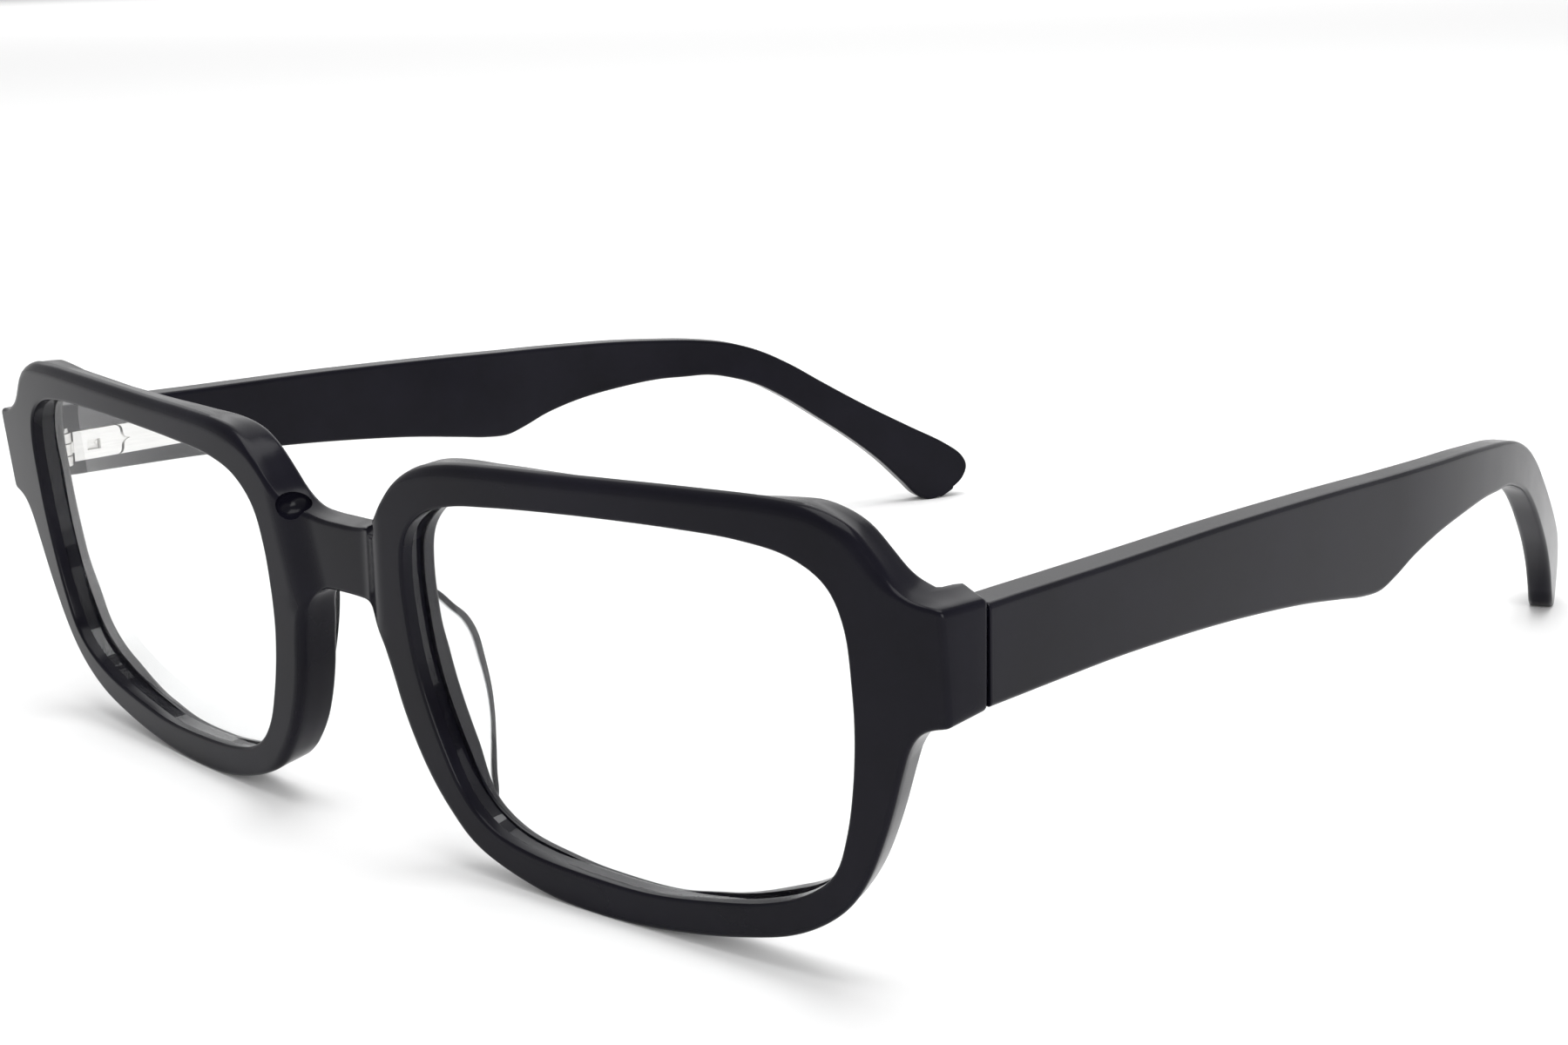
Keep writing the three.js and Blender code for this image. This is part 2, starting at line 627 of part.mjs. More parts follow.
const group = new THREE.Group();
for (const [name, manifold, material] of made) {
  const mesh = new THREE.Mesh(geometryOf(manifold), material());
  mesh.name = name;
  group.add(mesh);
}

// Centre the glasses front to back over the origin; they are already centred side to side.
const box = new THREE.Box3().setFromObject(group);
for (const mesh of group.children) mesh.geometry.translate(0, -(box.min.y + box.max.y) / 2, 0);

export default group;
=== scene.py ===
# Black acetate eyeglasses on a pale studio floor. Blender 4.5, metres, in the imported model's own frame.
# Shapes are drawn in millimetres in the frame that the hinge pivot fixes, then carried over by metres().
import math

import bmesh
import bpy
import numpy as np
from mathutils import Matrix, Vector
from mathutils.geometry import delaunay_2d_cdt


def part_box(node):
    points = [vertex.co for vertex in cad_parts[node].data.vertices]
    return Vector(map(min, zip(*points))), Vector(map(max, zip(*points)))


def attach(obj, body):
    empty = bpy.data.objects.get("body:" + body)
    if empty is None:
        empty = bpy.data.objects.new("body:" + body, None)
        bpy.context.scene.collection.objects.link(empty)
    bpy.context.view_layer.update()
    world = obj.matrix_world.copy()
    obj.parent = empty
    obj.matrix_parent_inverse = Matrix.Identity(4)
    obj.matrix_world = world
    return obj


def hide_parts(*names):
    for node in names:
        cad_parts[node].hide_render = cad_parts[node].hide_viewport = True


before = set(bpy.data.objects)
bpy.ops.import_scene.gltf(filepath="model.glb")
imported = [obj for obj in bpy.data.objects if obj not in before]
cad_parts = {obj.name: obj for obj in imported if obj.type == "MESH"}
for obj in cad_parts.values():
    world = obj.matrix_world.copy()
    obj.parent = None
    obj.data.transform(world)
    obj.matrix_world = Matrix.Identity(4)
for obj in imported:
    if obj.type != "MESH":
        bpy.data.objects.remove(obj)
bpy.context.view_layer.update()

# ---- driving dimensions, mm ----
BASE_RADIUS = 418.0  # face form of the front
TILT = math.radians(5.05)  # lean of the front
EYE_LEVEL = 20.41
DEPTH = 4.2  # rim, front to back
EDGE = 0.45  # edge rounding of the rims
GROOVE = (1.34, 2.88, 0.64)  # lens groove: from, to, bite
LENS = (1.45, 2.85, 0.6)  # lens edge: front, back, bite
BRIDGE_STEP = 1.35  # the bridge lies this far behind the rims
RAMP = 2.9  # run of the slope between rim face and bridge
JOINT_OUT, JOINT_IN, JOINT_GAP = 9.7, 11.0, 0.05  # where end piece meets temple, outer and inner side
FLARE, PINCH = 0.289, 0.075  # the end piece spreads sideways and tapers in height towards the rear
SCOOP = ((6.5, 1.6), (11.95, 1.4), (1.4, 1.9))  # hollow by the bridge: centre and reach across, up, deep
FLANK_X, INNER_X = 70.78, 66.95  # end piece, outer and inner side
TEMPLE_X = 71.29  # outer face of the temple, carried forward to the pivot frame's zero
TOE_IN = math.radians(2.935)
CURL_FROM, CURL = 78.0, 0.0026  # the temple bends inwards past here
PIVOT = (66.6, 9.9, 28.8)
PLATE = dict(end=16.8, half=1.75, inner=0.25, thick=0.6)  # cover plates on the temple
BOX_OUTER = 2.95
FIT = 0.05  # room around the hinge parts in the temple
TEMPLE_EDGE = 0.5
SHARP = 38.0  # degrees; edges sharper than this stay crisp

FRONT_OUTLINE = [
    (0, 11), (2.6, 11.05), (5.2, 11.5), (7.3, 12.75), (9.15, 14.75), (11.35, 16.95), (14, 18.45),
    (17.5, 19.25), (23.8, 19.7), (30, 19.9), (39.2, 20.2), (48, 20.4), (55, 20.4), (59.2, 20),
    (62.3, 18.7), (64.4, 16.5), (66.2, 14.4), (68.2, 13.5), (70.5, 13.3), (70.5, 3.6), (68.8, 3.3),
    (67.6, 2.7), (66.6, 1.4), (65.6, -1.2), (64.4, -4.7), (63.1, -7.9), (61.6, -10.9), (59.8, -13.4),
    (57.2, -15.6), (53.5, -17.5), (48.2, -18.9), (42.6, -19.9), (36, -20.6), (31, -20.72), (26, -20.4),
    (21.6, -19.5), (18, -18.35), (15, -16.9), (12.8, -14.8), (10.75, -12), (9.1, -8.75), (7.85, -5.3),
    (6.95, -1.6), (6, 1.3), (5, 3), (3.8, 3.8), (2.2, 4), (0, 4.05),
]
LUG_CORNER = 18  # FRONT_OUTLINE turns down the end of the lug after this point
OPENING = [
    (61.65, 5.5), (61.35, 10.9), (60, 14), (56.9, 15.9), (52, 16.75), (45.5, 16.95), (34.6, 16.75),
    (24, 16.15), (18.4, 15.5), (14.4, 14.1), (11.9, 11.5), (11, 7.8), (10.9, 3.5), (11.2, -0.5),
    (12.1, -4.5), (13.45, -8.4), (15, -11.7), (17, -14.1), (19.8, -15.7), (23.8, -16.6), (31.2, -17.1),
    (38, -17.1), (45, -16.2), (51, -15), (55.6, -13.2), (58.45, -10.8), (60, -7), (61, -2.5),
    (61.55, 2),
]
TEMPLE_SIDE = [  # top edge and bottom edge, (back, up), in pairs from the hinge to the tip
    (9.75, 33.75, 9.75, 25.4), (14, 33.65, 14, 25.3), (20, 33.45, 20, 25.15), (28, 33.2, 28, 24.9),
    (36, 33, 36, 24.45), (44, 32.8, 44, 23.85), (52, 32.5, 52, 23.05), (60, 32.15, 60, 22.05),
    (67, 31.8, 67, 20.9), (71.5, 31.55, 71.5, 20.15), (75, 31.35, 75, 19.95), (78, 31.2, 78, 20.65),
    (82, 31, 82, 21.9), (88, 30.65, 88, 23.05), (95, 30.2, 95, 23.7), (102, 29.55, 101.3, 23.95),
    (108, 28.85, 105.7, 23.75), (113.5, 27.8, 110, 23.5), (118.5, 26.1, 113.8, 22.6),
    (123.5, 23.55, 117.8, 21.2), (129, 20.1, 122.5, 18.6), (136, 15.8, 128.2, 14.7),
    (143, 11.75, 133.4, 10.9), (148.3, 8.7, 138, 7), (151.2, 6.4, 141.8, 3.1), (152, 4.6, 144, 0.8),
    (151.3, 2.8, 146, -0.1), (149.9, 1.6, 147.6, 0.3),
]
TEMPLE_THICKNESS = ((0, 3.6), (25, 3.5), (60, 3.2), (100, 2.9), (160, 2.9))

screw_lo, screw_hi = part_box("hinge_screw_left")
SHIFT_Y = (screw_lo.y + screw_hi.y) * 500 - PIVOT[1]


def metres(points):
    return (np.asarray(points, float) + (0, SHIFT_Y, 0)) / 1000


# ---- curves ----
def catmull(points, closed, samples):
    """Centripetal Catmull-Rom curve at evenly spaced parameters."""
    p = np.asarray(points, float)
    spans = len(p) if closed else len(p) - 1
    t = np.linspace(0, spans, samples + 1)[: -1 if closed else None]
    i = np.minimum(t.astype(int), spans - 1)
    w = (t - i)[:, None]
    q = np.vstack([p[-1:], p, p[:2]]) if closed else np.vstack([2 * p[0] - p[1], p, 2 * p[-1] - p[-2]])
    p0, p1, p2, p3 = (q[i + k] for k in range(4))
    d0, d1, d2 = (np.linalg.norm(b - a, axis=1)[:, None] ** 0.5 for a, b in ((p0, p1), (p1, p2), (p2, p3)))
    m1 = ((p1 - p0) / d0 - (p2 - p0) / (d0 + d1) + (p2 - p1) / d1) * d1
    m2 = ((p2 - p1) / d1 - (p3 - p1) / (d1 + d2) + (p3 - p2) / d2) * d1
    return p1 + m1 * w + (-3 * p1 + 3 * p2 - 2 * m1 - m2) * w**2 + (2 * p1 - 2 * p2 + m1 + m2) * w**3


def respace(loop, spacing):
    """Points of a closed loop, as far apart as spacing(x, y) says."""
    ring = np.vstack([loop, loop[:1]])
    step = np.linalg.norm(np.diff(ring, axis=0), axis=1)
    middle = (ring[1:] + ring[:-1]) / 2
    along = np.concatenate([[0], np.cumsum(step / spacing(middle[:, 0], middle[:, 1]))])
    want = np.arange(round(along[-1])) * along[-1] / round(along[-1])
    return np.column_stack([np.interp(want, along, ring[:, k]) for k in (0, 1)])


def fair(loop, rounds):
    for _ in range(rounds):
        loop = (np.roll(loop, 1, axis=0) + 2 * loop + np.roll(loop, -1, axis=0)) / 4
    return loop


def outward(loop):
    """Unit normals that point out of a closed loop."""
    run = np.roll(loop, -1, axis=0) - np.roll(loop, 1, axis=0)
    area = np.sum(loop[:, 0] * np.roll(loop[:, 1], -1) - loop[:, 1] * np.roll(loop[:, 0], -1))
    normal = np.column_stack([run[:, 1], -run[:, 0]]) * np.sign(area)
    return normal / np.linalg.norm(normal, axis=1)[:, None]


def smoothstep(t):
    t = np.clip(t, 0, 1)
    return t * t * (3 - 2 * t)


def soft_ramp(t, soft):
    """0 below 0, 1 above 1, straight between, with corners rounded over +-soft."""
    low = lambda x: np.where(x < -soft, 0, np.where(x > soft, x, (x + soft) ** 2 / (4 * soft)))
    return low(t) - low(t - 1)


def inside(points, loop):
    """Even-odd test of many points against one closed loop."""
    x, y = points[:, 0][:, None], points[:, 1][:, None]
    ax, ay = loop[:, 0][None], loop[:, 1][None]
    bx, by = np.roll(loop[:, 0], -1)[None], np.roll(loop[:, 1], -1)[None]
    with np.errstate(divide="ignore", invalid="ignore"):
        hit = ((ay > y) != (by > y)) & (x < (bx - ax) * (y - ay) / (by - ay) + ax)
    return hit.sum(axis=1) % 2 == 1


def clearance(points, loop):
    gap = np.full(len(points), np.inf)
    for start in range(0, len(points), 500):
        part = points[start : start + 500]
        gap[start : start + 500] = np.sqrt(((part[:, None] - loop[None]) ** 2).sum(-1)).min(axis=1)
    return gap


# ---- meshes ----
def object_from(name, points, faces, sharp=SHARP):
    """A closed, outward-facing, smooth-shaded mesh with its sharp edges marked."""
    mesh = bpy.data.meshes.new(name)
    mesh.from_pydata([tuple(p) for p in points], [], [tuple(int(i) for i in f) for f in faces])
    made = bmesh.new()
    made.from_mesh(mesh)
    bmesh.ops.recalc_face_normals(made, faces=made.faces)
    made.to_mesh(mesh)
    made.free()
    return finished(name, mesh, sharp)


def finished(name, mesh, sharp):
    for polygon in mesh.polygons:
        polygon.use_smooth = True
    mesh.set_sharp_from_angle(angle=math.radians(sharp))
    piece = bpy.data.objects.new(name, mesh)
    bpy.context.scene.collection.objects.link(piece)
    return piece


def carve(piece, cutters):
    """Cuts the cutters out of a piece, and removes them."""
    for cutter in cutters:
        step = piece.modifiers.new("carve", "BOOLEAN")
        step.object, step.operation, step.solver = cutter, "DIFFERENCE", "MANIFOLD"
    name = piece.name
    carved = piece.evaluated_get(bpy.context.evaluated_depsgraph_get())
    mesh = bpy.data.meshes.new_from_object(carved)
    for old in [piece, *cutters]:
        bpy.data.objects.remove(old)
    mesh.name = name
    return finished(name, mesh, SHARP)


def mirrored(piece, name):
    mesh = piece.data.copy()
    mesh.name = name
    mesh.transform(Matrix.Scale(-1, 4, (1, 0, 0)))
    mesh.flip_normals()
    twin = bpy.data.objects.new(name, mesh)
    bpy.context.scene.collection.objects.link(twin)
    return twin


def skin(rings):
    """Points and faces of loops of equal length joined in order, with a flat face over each end."""
    sides = len(rings[0])
    faces = []
    for i in range(len(rings) - 1):
        for j in range(sides):
            a, b = i * sides + j, i * sides + (j + 1) % sides
            faces.append((a, b, b + sides, a + sides))
    last = (len(rings) - 1) * sides
    faces += [tuple(range(sides))[::-1], tuple(range(last, last + sides))]
    return np.concatenate([np.asarray(r, float) for r in rings]), faces


def hinge_frame(points):
    """(outwards, along the temple, up) from the pivot, turned to the temple's toe-in, in mm."""
    a, s, z = np.asarray(points, float).T
    c, n = math.cos(TOE_IN), math.sin(TOE_IN)
    return np.column_stack([a * c - s * n + PIVOT[0], a * n + s * c + PIVOT[1], z + PIVOT[2]])


def hinge_cutter(name, outline, low, high):
    """A (back, up) outline pulled straight outwards, from one distance off the pivot to another."""
    flat = np.asarray(outline, float)
    points, faces = skin([hinge_frame(np.insert(flat, 0, level, axis=1)) for level in (low, high)])
    return object_from(name, metres(points), faces)


def rectangle(x0, x1, y0, y1, corner=0.0, turns=3):
    if not corner:
        return [(x0, y0), (x1, y0), (x1, y1), (x0, y1)]
    centres = [(x1 - corner, y0 + corner, -90), (x1 - corner, y1 - corner, 0),
               (x0 + corner, y1 - corner, 90), (x0 + corner, y0 + corner, 180)]
    return [(cx + corner * math.cos(math.radians(a + 90 * k / turns)),
             cy + corner * math.sin(math.radians(a + 90 * k / turns)))
            for cx, cy, a in centres for k in range(turns + 1)]


# ---- the front: drawn flat as (across, up, depth), then bent and leant ----
def end_share(across):
    """0 on the rims, 1 at the ends of the end pieces."""
    return smoothstep((np.abs(across) - 66.8) / 3.4)


def front_point(across, up, depth):
    angle = across / BASE_RADIUS
    flare = FLARE * depth * end_share(across) * np.sign(across)
    x = (BASE_RADIUS - depth) * np.sin(angle) + flare
    back = BASE_RADIUS - (BASE_RADIUS - depth) * np.cos(angle)
    y = back * math.cos(TILT) - up * math.sin(TILT)
    pinch = PINCH * depth * end_share(across) * np.clip((up - 8.4) / 4.9, -1, 1)
    return np.column_stack([x, y, up * math.cos(TILT) + back * math.sin(TILT) + EYE_LEVEL - pinch])


def step_edge(up):
    return 5.82 + 0.144 * (up - 2)  # where the bridge's step starts, across


def front_depth(across, up):
    return BRIDGE_STEP * soft_ramp((step_edge(up) + 0.6 - np.abs(across)) / RAMP, 0.35)


def joint_depth(across, up):
    """Depth at which the end piece meets its slanting joint face."""
    angle = np.abs(across) / BASE_RADIUS
    reach = (JOINT_IN - JOINT_OUT) / (FLANK_X - INNER_X)
    flare = FLARE * end_share(across)
    start = BASE_RADIUS * (1 - np.cos(angle)) * math.cos(TILT) - up * math.sin(TILT)
    gap = JOINT_OUT - JOINT_GAP + reach * (FLANK_X - BASE_RADIUS * np.sin(angle)) - start
    return gap / (np.cos(angle) * math.cos(TILT) + reach * (flare - np.sin(angle)))


def back_depth(across, up):
    lug = soft_ramp((np.abs(across) - 67.75) / 0.4, 0.25)
    bridge = 0.35 * (1 - smoothstep((np.abs(across) - 1) / 5))
    nasal = 0.25 * smoothstep((3 - up) / 4) * (1 - smoothstep((np.abs(across) - 12) / 5))
    nasal *= smoothstep((up + 17) / 6)
    return DEPTH + bridge + nasal + lug * (joint_depth(across, up) - DEPTH)


def outer_wall(across, up):
    """(draft, front edge radius, rear edge radius) of the outer wall of the front."""
    a = np.abs(across)
    above = np.interp(a, (13, 22, 32, 40, 52, 58, 62, 67.3), (0, 0.13, 0.2, 0.24, 0.22, 0.08, 0.06, 0))
    below = np.interp(a, (13, 18, 24, 30, 56, 61, 66, 67.3), (0, 0.14, 0.14, 0.08, 0.08, 0.12, 0.12, 0))
    draft = np.where(up > 3, above, below)
    lug = smoothstep((a - 64.5) / 2.5)
    nasal = smoothstep((2.5 - up) / 2.5) * (1 - smoothstep((a - 13) / 5))
    top = smoothstep((up - 10) / 4) * smoothstep((a - 9) / 6)
    front = EDGE + 0.5 * nasal + 0.75 * top
    rear = np.interp(a, (5, 9, 20), (0.6, 0.6, 0.8)) - 0.2 * smoothstep((-up - 12) / 4)
    rear = rear + nasal * (EDGE - rear)
    return draft, front + lug * (EDGE - front), rear + lug * (EDGE - rear)


def inner_wall(across, up):
    """The same for the wall of a lens opening."""
    a = np.abs(across)
    low = smoothstep((-up - 9) / 5) * (1 - smoothstep((a - 44) / 9))
    side = smoothstep((a - 57) / 3) * smoothstep((up + 9) / 6)
    wide = np.maximum(low, side)
    deep = low * smoothstep((a - 24) / 6) * (1 - smoothstep((a - 38) / 6))
    return 0.15 * wide + 0.08 * deep, np.full_like(up, 0.32), EDGE + 0.45 * wide - 0.2 * deep


def outline_loop():
    upper = catmull(FRONT_OUTLINE[: LUG_CORNER + 1], False, 900)
    lower = catmull(FRONT_OUTLINE[LUG_CORNER + 1 :], False, 1400)
    half = np.vstack([upper, lower])
    whole = np.vstack([half, half[1:-1][::-1] * (-1, 1)])
    even = respace(whole, lambda x, y: np.full_like(x, 0.1))
    even = fair(even, 60)
    return respace(even, lambda x, y: np.where(np.abs(x) < 9.5, 0.2, np.where(np.abs(x) > 66, 0.2, 0.45)))


def opening_loop():
    even = respace(catmull(OPENING, True, 1500), lambda x, y: np.full_like(x, 0.1))
    return respace(fair(even, 60), lambda x, y: np.full_like(x, 0.42))


def lattice(loops, spacing, margin, extra=()):
    """Inner points of the area between the first loop and the others, clear of every loop."""
    reach = np.abs(loops[0]).max(axis=0)
    grid = np.stack(np.meshgrid(np.arange(-reach[0], reach[0], spacing),
                                np.arange(-reach[1], reach[1], spacing)), -1).reshape(-1, 2)
    grid[:, 0] += spacing / 2 * (np.round(grid[:, 1] / spacing) % 2)
    if len(extra):
        extra = np.asarray(extra)
        grid = np.vstack([grid[clearance(grid, extra) > spacing * 0.6], extra])
    keep = inside(grid, loops[0])
    for hole in loops[1:]:
        keep &= ~inside(grid, hole)
    grid = grid[keep]
    return grid[np.minimum.reduce([clearance(grid, loop) for loop in loops]) > margin]


def fill(loops, inner):
    """Triangles between the first loop and the others; indices run through the loops, then inner."""
    loops = [loop.astype("float32").astype(float) for loop in loops]  # Vector holds single precision
    points = np.vstack([*loops, inner]).astype("float32").astype(float)
    edges, start = [], 0
    for loop in loops:
        n = len(loop)
        edges += [(start + i, start + (i + 1) % n) for i in range(n)]
        start += n
    verts, _, faces, source, _, _ = delaunay_2d_cdt([Vector(p) for p in points], edges, [], 0, 1e-7, True)
    index = np.array([s[0] for s in source])
    triangles = index[np.array(faces)]
    middle = points[triangles].mean(axis=1)
    keep = inside(middle, loops[0])
    for hole in loops[1:]:
        keep &= ~inside(middle, hole)
    return triangles[keep]


ARC = [math.radians(a) for a in (0, 15, 30, 45, 60, 75, 90)]


def front_mesh():
    outline, left = outline_loop(), opening_loop()
    right = left[::-1] * (-1, 1)
    points, faces, count = [], [], 0
    ends = {"front": [], "back": []}  # (loop, first index) where the walls meet the two faces
    for loop, into, walls in ((outline, -1, outer_wall), (left, 1, inner_wall), (right, 1, inner_wall)):
        n, normal = len(loop), outward(loop) * into
        draft, front_r, rear_r = walls(*loop.T)
        start, reach = front_depth(*loop.T), back_depth(*loop.T)
        slant = draft * (reach - start)
        rows = [(front_r + 0.14, "front", 0)]
        rows += [(front_r * (1 - math.sin(a)), "front", front_r * (1 - math.cos(a))) for a in ARC]
        if into < 0:
            rows += [(slant * t, "wall", t) for t in (0.33, 0.6)]
        else:
            low, high, bite = GROOVE
            rows += [(draft * low, "deep", low), (bite, "deep", low)]
            rows += [(bite, "deep", high), (draft * high, "deep", high)]
        rows += [(slant + rear_r * (1 - math.sin(a)), "back", rear_r * (1 - math.cos(a)))
                 for a in ARC[::-1]]
        rows += [(slant + rear_r + 0.14, "back", 0)]
        for row, (inset, kind, amount) in enumerate(rows):
            p = loop + normal * np.broadcast_to(inset, n)[:, None]
            front, back = front_depth(*p.T), back_depth(*p.T)
            depth = {"front": front + amount, "back": back - amount, "deep": np.full(n, 0.0) + amount,
                     "wall": front + amount * (back - front)}[kind]
            points.append(np.column_stack([p, depth]))
            if row:
                ahead = [(i + 1) % n for i in range(n)]
                faces += [(count - n + i, count - n + j, count + j, count + i) for i, j in enumerate(ahead)]
            if row in (0, len(rows) - 1):
                ends[kind].append((p, count))
            count += n
    fine = [(side * u, v) for side in (-1, 1)
            for u in np.arange(0.15, 9.2, 0.3) for v in np.arange(3.4, 16, 0.35)]
    lug = [(side * u, v) for side in (-1, 1) for u in (67.5, 67.65, 67.8, 67.95, 68.1, 68.25, 68.4)
           for v in np.arange(3.7, 13.4, 0.4)]
    for face, depth_at in (("front", front_depth), ("back", back_depth)):
        flat = [p for p, _ in ends[face]]
        inner = lattice(flat, 1.0, 0.3, np.vstack([fine, lug]))
        index = np.concatenate([np.arange(start, start + len(p)) for p, start in ends[face]]
                               + [np.arange(count, count + len(inner))])
        points.append(np.column_stack([inner, depth_at(*inner.T)]))
        count += len(inner)
        faces += [tuple(t) for t in index[fill(flat, inner)]]
    placed = front_point(*np.vstack(points).T)
    placed[:, 2] = np.maximum(placed[:, 2], 0)
    return object_from("acetate_front", metres(placed), faces)


def scoop(side, turns=24, steps=14):
    """Cutter for the hollow where the bridge runs into the shoulder of a rim."""
    (u, wide), (v, high), (depth, deep) = SCOOP
    b = np.linspace(0, 2 * math.pi, turns, endpoint=False)
    rings = []
    for k in range(1, steps):
        a = math.pi * k / steps
        across, up = u + wide * math.sin(a) * np.cos(b), v + high * math.sin(a) * np.sin(b)
        rings.append(front_point(side * across, up, np.full(turns, depth - deep * math.cos(a))))
    points, faces = skin(rings)
    return object_from(f"cut_scoop_{side}", metres(points), faces)


# ---- temples ----
def plan_x(y):
    past = np.maximum(0, y - CURL_FROM)
    return TEMPLE_X - math.tan(TOE_IN) * y - CURL * past**2


def temple_point(y, z, depth):
    slope = -math.tan(TOE_IN) - 2 * CURL * np.maximum(0, y - CURL_FROM)
    length = np.hypot(slope, 1)
    return np.column_stack([plan_x(y) - depth / length, y + depth * slope / length, z])


def section(height, thickness, corner, turns=5):
    """A rounded rectangle of a fixed count of (up, inwards) points, with support points by each corner."""
    ring = []
    near = min(corner + 0.12, height * 0.45, thickness * 0.45)
    corners = ((0, 0, 1, 1, "h"), (0, thickness, 1, -1, "d"),
               (height, thickness, -1, -1, "h"), (height, 0, -1, 1, "d"))
    for h, d, sh, sd, first in corners:
        turn = [(h + sh * corner * (1 - math.cos(a)), d + sd * corner * (1 - math.sin(a)))
                for a in np.linspace(0, math.pi / 2, turns + 1)]
        turn = [(h, d + sd * near), *turn, (h + sh * near, d)]
        ring += turn if first == "d" else turn[::-1]
    return np.array(ring)


def temple_mesh():
    count = 270
    tops = catmull([(y, z) for y, z, _, _ in TEMPLE_SIDE], False, count)
    feet = catmull([(y, z) for _, _, y, z in TEMPLE_SIDE], False, count)
    reach = (JOINT_IN - JOINT_OUT) / (FLANK_X - INNER_X)
    rings = []

    def ring_at(top, foot, shrink=0.0):
        height = float(np.linalg.norm(top - foot))
        thickness = float(np.interp((top[0] + foot[0]) / 2, *zip(*TEMPLE_THICKNESS)))
        corner = min(TEMPLE_EDGE - shrink, height / 4)
        shape = section(height - 2 * shrink, thickness - 2 * shrink, corner) + shrink
        side = foot + (top - foot) * (shape[:, :1] / height)
        return temple_point(side[:, 0], side[:, 1], shape[:, 1])

    for ahead, shrink in ((0, 0.12), (0.04, 0.04), (0.12, 0), (0.3, 0)):
        ring = ring_at(tops[0], feet[0], shrink)
        for _ in range(3):  # slides each point along the temple, onto the joint face
            gap = JOINT_OUT + reach * (FLANK_X - ring[:, 0]) + ahead - ring[:, 1]
            ring = ring + np.column_stack([-math.tan(TOE_IN) * gap, gap, 0 * gap])
        rings.append(ring)
    for top, foot in zip(tops, feet):
        if min(top[0], foot[0]) > JOINT_IN + 0.9:
            rings.append(ring_at(top, foot))
    end, middle = rings[-1], rings[-1].mean(axis=0)
    out = np.cross(end[3] - middle, end[len(end) // 4 + 3] - middle)
    out *= -np.sign(out[2]) / np.linalg.norm(out)
    size = np.linalg.norm(end - middle, axis=1)[:, None]
    for angle in (22.5, 45, 67.5, 90):
        a = math.radians(angle)
        drawn_in = 1 - 0.7 * (1 - math.cos(a)) / size
        rings.append(middle + (end - middle) * drawn_in + out * 0.45 * math.sin(a))
    points, faces = skin(rings)
    points[:, 2] = np.maximum(points[:, 2], 0)
    return object_from("acetate_temple_left", metres(points), faces)


# ---- lenses and nose pads ----
def lens_mesh():
    rim = opening_loop()[::2]
    rim = rim + outward(rim) * LENS[2]
    grid = lattice([rim - (36.5, 0)], 1.6, 0.9) + (36.5, 0)
    triangles = fill([rim], grid)
    flat = np.vstack([rim, grid])
    bow = 0.75 * smoothstep(1 - ((flat[:, 0] - 36.5) / 26.5) ** 2 - (flat[:, 1] / 18) ** 2)
    n, total = len(rim), len(flat)
    points = np.vstack([front_point(*flat.T, depth - bow) for depth in LENS[:2]])
    faces = [tuple(t) for t in triangles] + [tuple(t[::-1] + total) for t in triangles]
    faces += [(i, (i + 1) % n, total + (i + 1) % n, total + i) for i in range(n)]
    return object_from("clear_lens_left", metres(points), faces, 50)


PAD_EDGE = [  # (up, across, depth) along the rear edge of a nose pad
    (5.6, 8.4, 4.1), (4.6, 9.1, 5.5), (3.1, 9.85, 6.5), (2.0, 10.7, 7.15), (0.4, 11.45, 7.5),
    (-2.2, 12.1, 7.5), (-5.0, 12.75, 7.3), (-7.5, 13.25, 6.85), (-10.0, 13.8, 6.1), (-12.5, 14.5, 5.15),
    (-13.9, 15.1, 4.6), (-15.2, 15.6, 3.9),
]
PAD_ROOT = [(5.6, 8.2), (2.0, 8.2), (-2.2, 9.0), (-7.5, 11.2), (-12.5, 14.1), (-15.2, 15.4)]  # (up, across)


def pad_mesh():
    """A clear fin behind the nasal side of the rim, leaning outwards towards its rounded rear edge."""
    edge = np.column_stack([catmull([(v, u) for v, u, _ in PAD_EDGE], False, 90),
                            catmull([(v, w) for v, _, w in PAD_EDGE], False, 90)[:, 1]])
    rings = []
    for up, across, depth in edge:
        r = np.interp(up, (-15.2, -7, 0, 5.6), (0.5, 0.55, 0.8, 0.9))
        root = np.array([np.interp(-up, [-v for v, _ in PAD_ROOT], [u for _, u in PAD_ROOT]), DEPTH - 0.25])
        tip = np.array([across, max(depth, root[1] + 0.25)])
        run = (tip - root) / np.linalg.norm(tip - root)
        side = np.array([-run[1], run[0]]) * r
        turn = [tip - run * r + (side * math.cos(a) + run * r * math.sin(a))
                for a in np.linspace(0, math.pi, 9)]
        ring = np.array([root + side, *turn, root - side])
        rings.append(front_point(ring[:, 0], np.full(len(ring), up), ring[:, 1]))
    points, faces = skin(rings)
    piece = object_from("nose_pad_shape_left", metres(points), faces)
    sides = len(rings[0])
    # marks the rounded rear edge, where the pad material paints shade: a near-black matte colour in place
    # of the light the edge bends away
    rear = piece.data.attributes.new("rear_edge_painted_shade", "FLOAT", "POINT")
    rear.data.foreach_set("value", [float(1 < i % sides < sides - 2) for i in range(len(points))])
    return piece


# ---- materials ----
def nodes_of(name):
    material = bpy.data.materials.new(name)
    material.use_nodes = True
    tree = material.node_tree
    shader = tree.nodes["Principled BSDF"]
    place = tree.nodes.new("ShaderNodeTexCoord")
    return material, tree, shader, place


def add(tree, kind, links=(), **values):
    node = tree.nodes.new("ShaderNode" + kind)
    for key, value in values.items():
        if hasattr(node, key):
            setattr(node, key, value)
        else:
            node.inputs[key.replace("_", " ")].default_value = value
    for source, target in links:
        tree.links.new(source, node.inputs[target])
    return node


def noise(tree, place, scale, detail, roughness=0.5):
    texture = add(tree, "TexNoise", [(place, "Vector")], Scale=scale, Detail=detail, Roughness=roughness)
    return texture.outputs["Fac"]


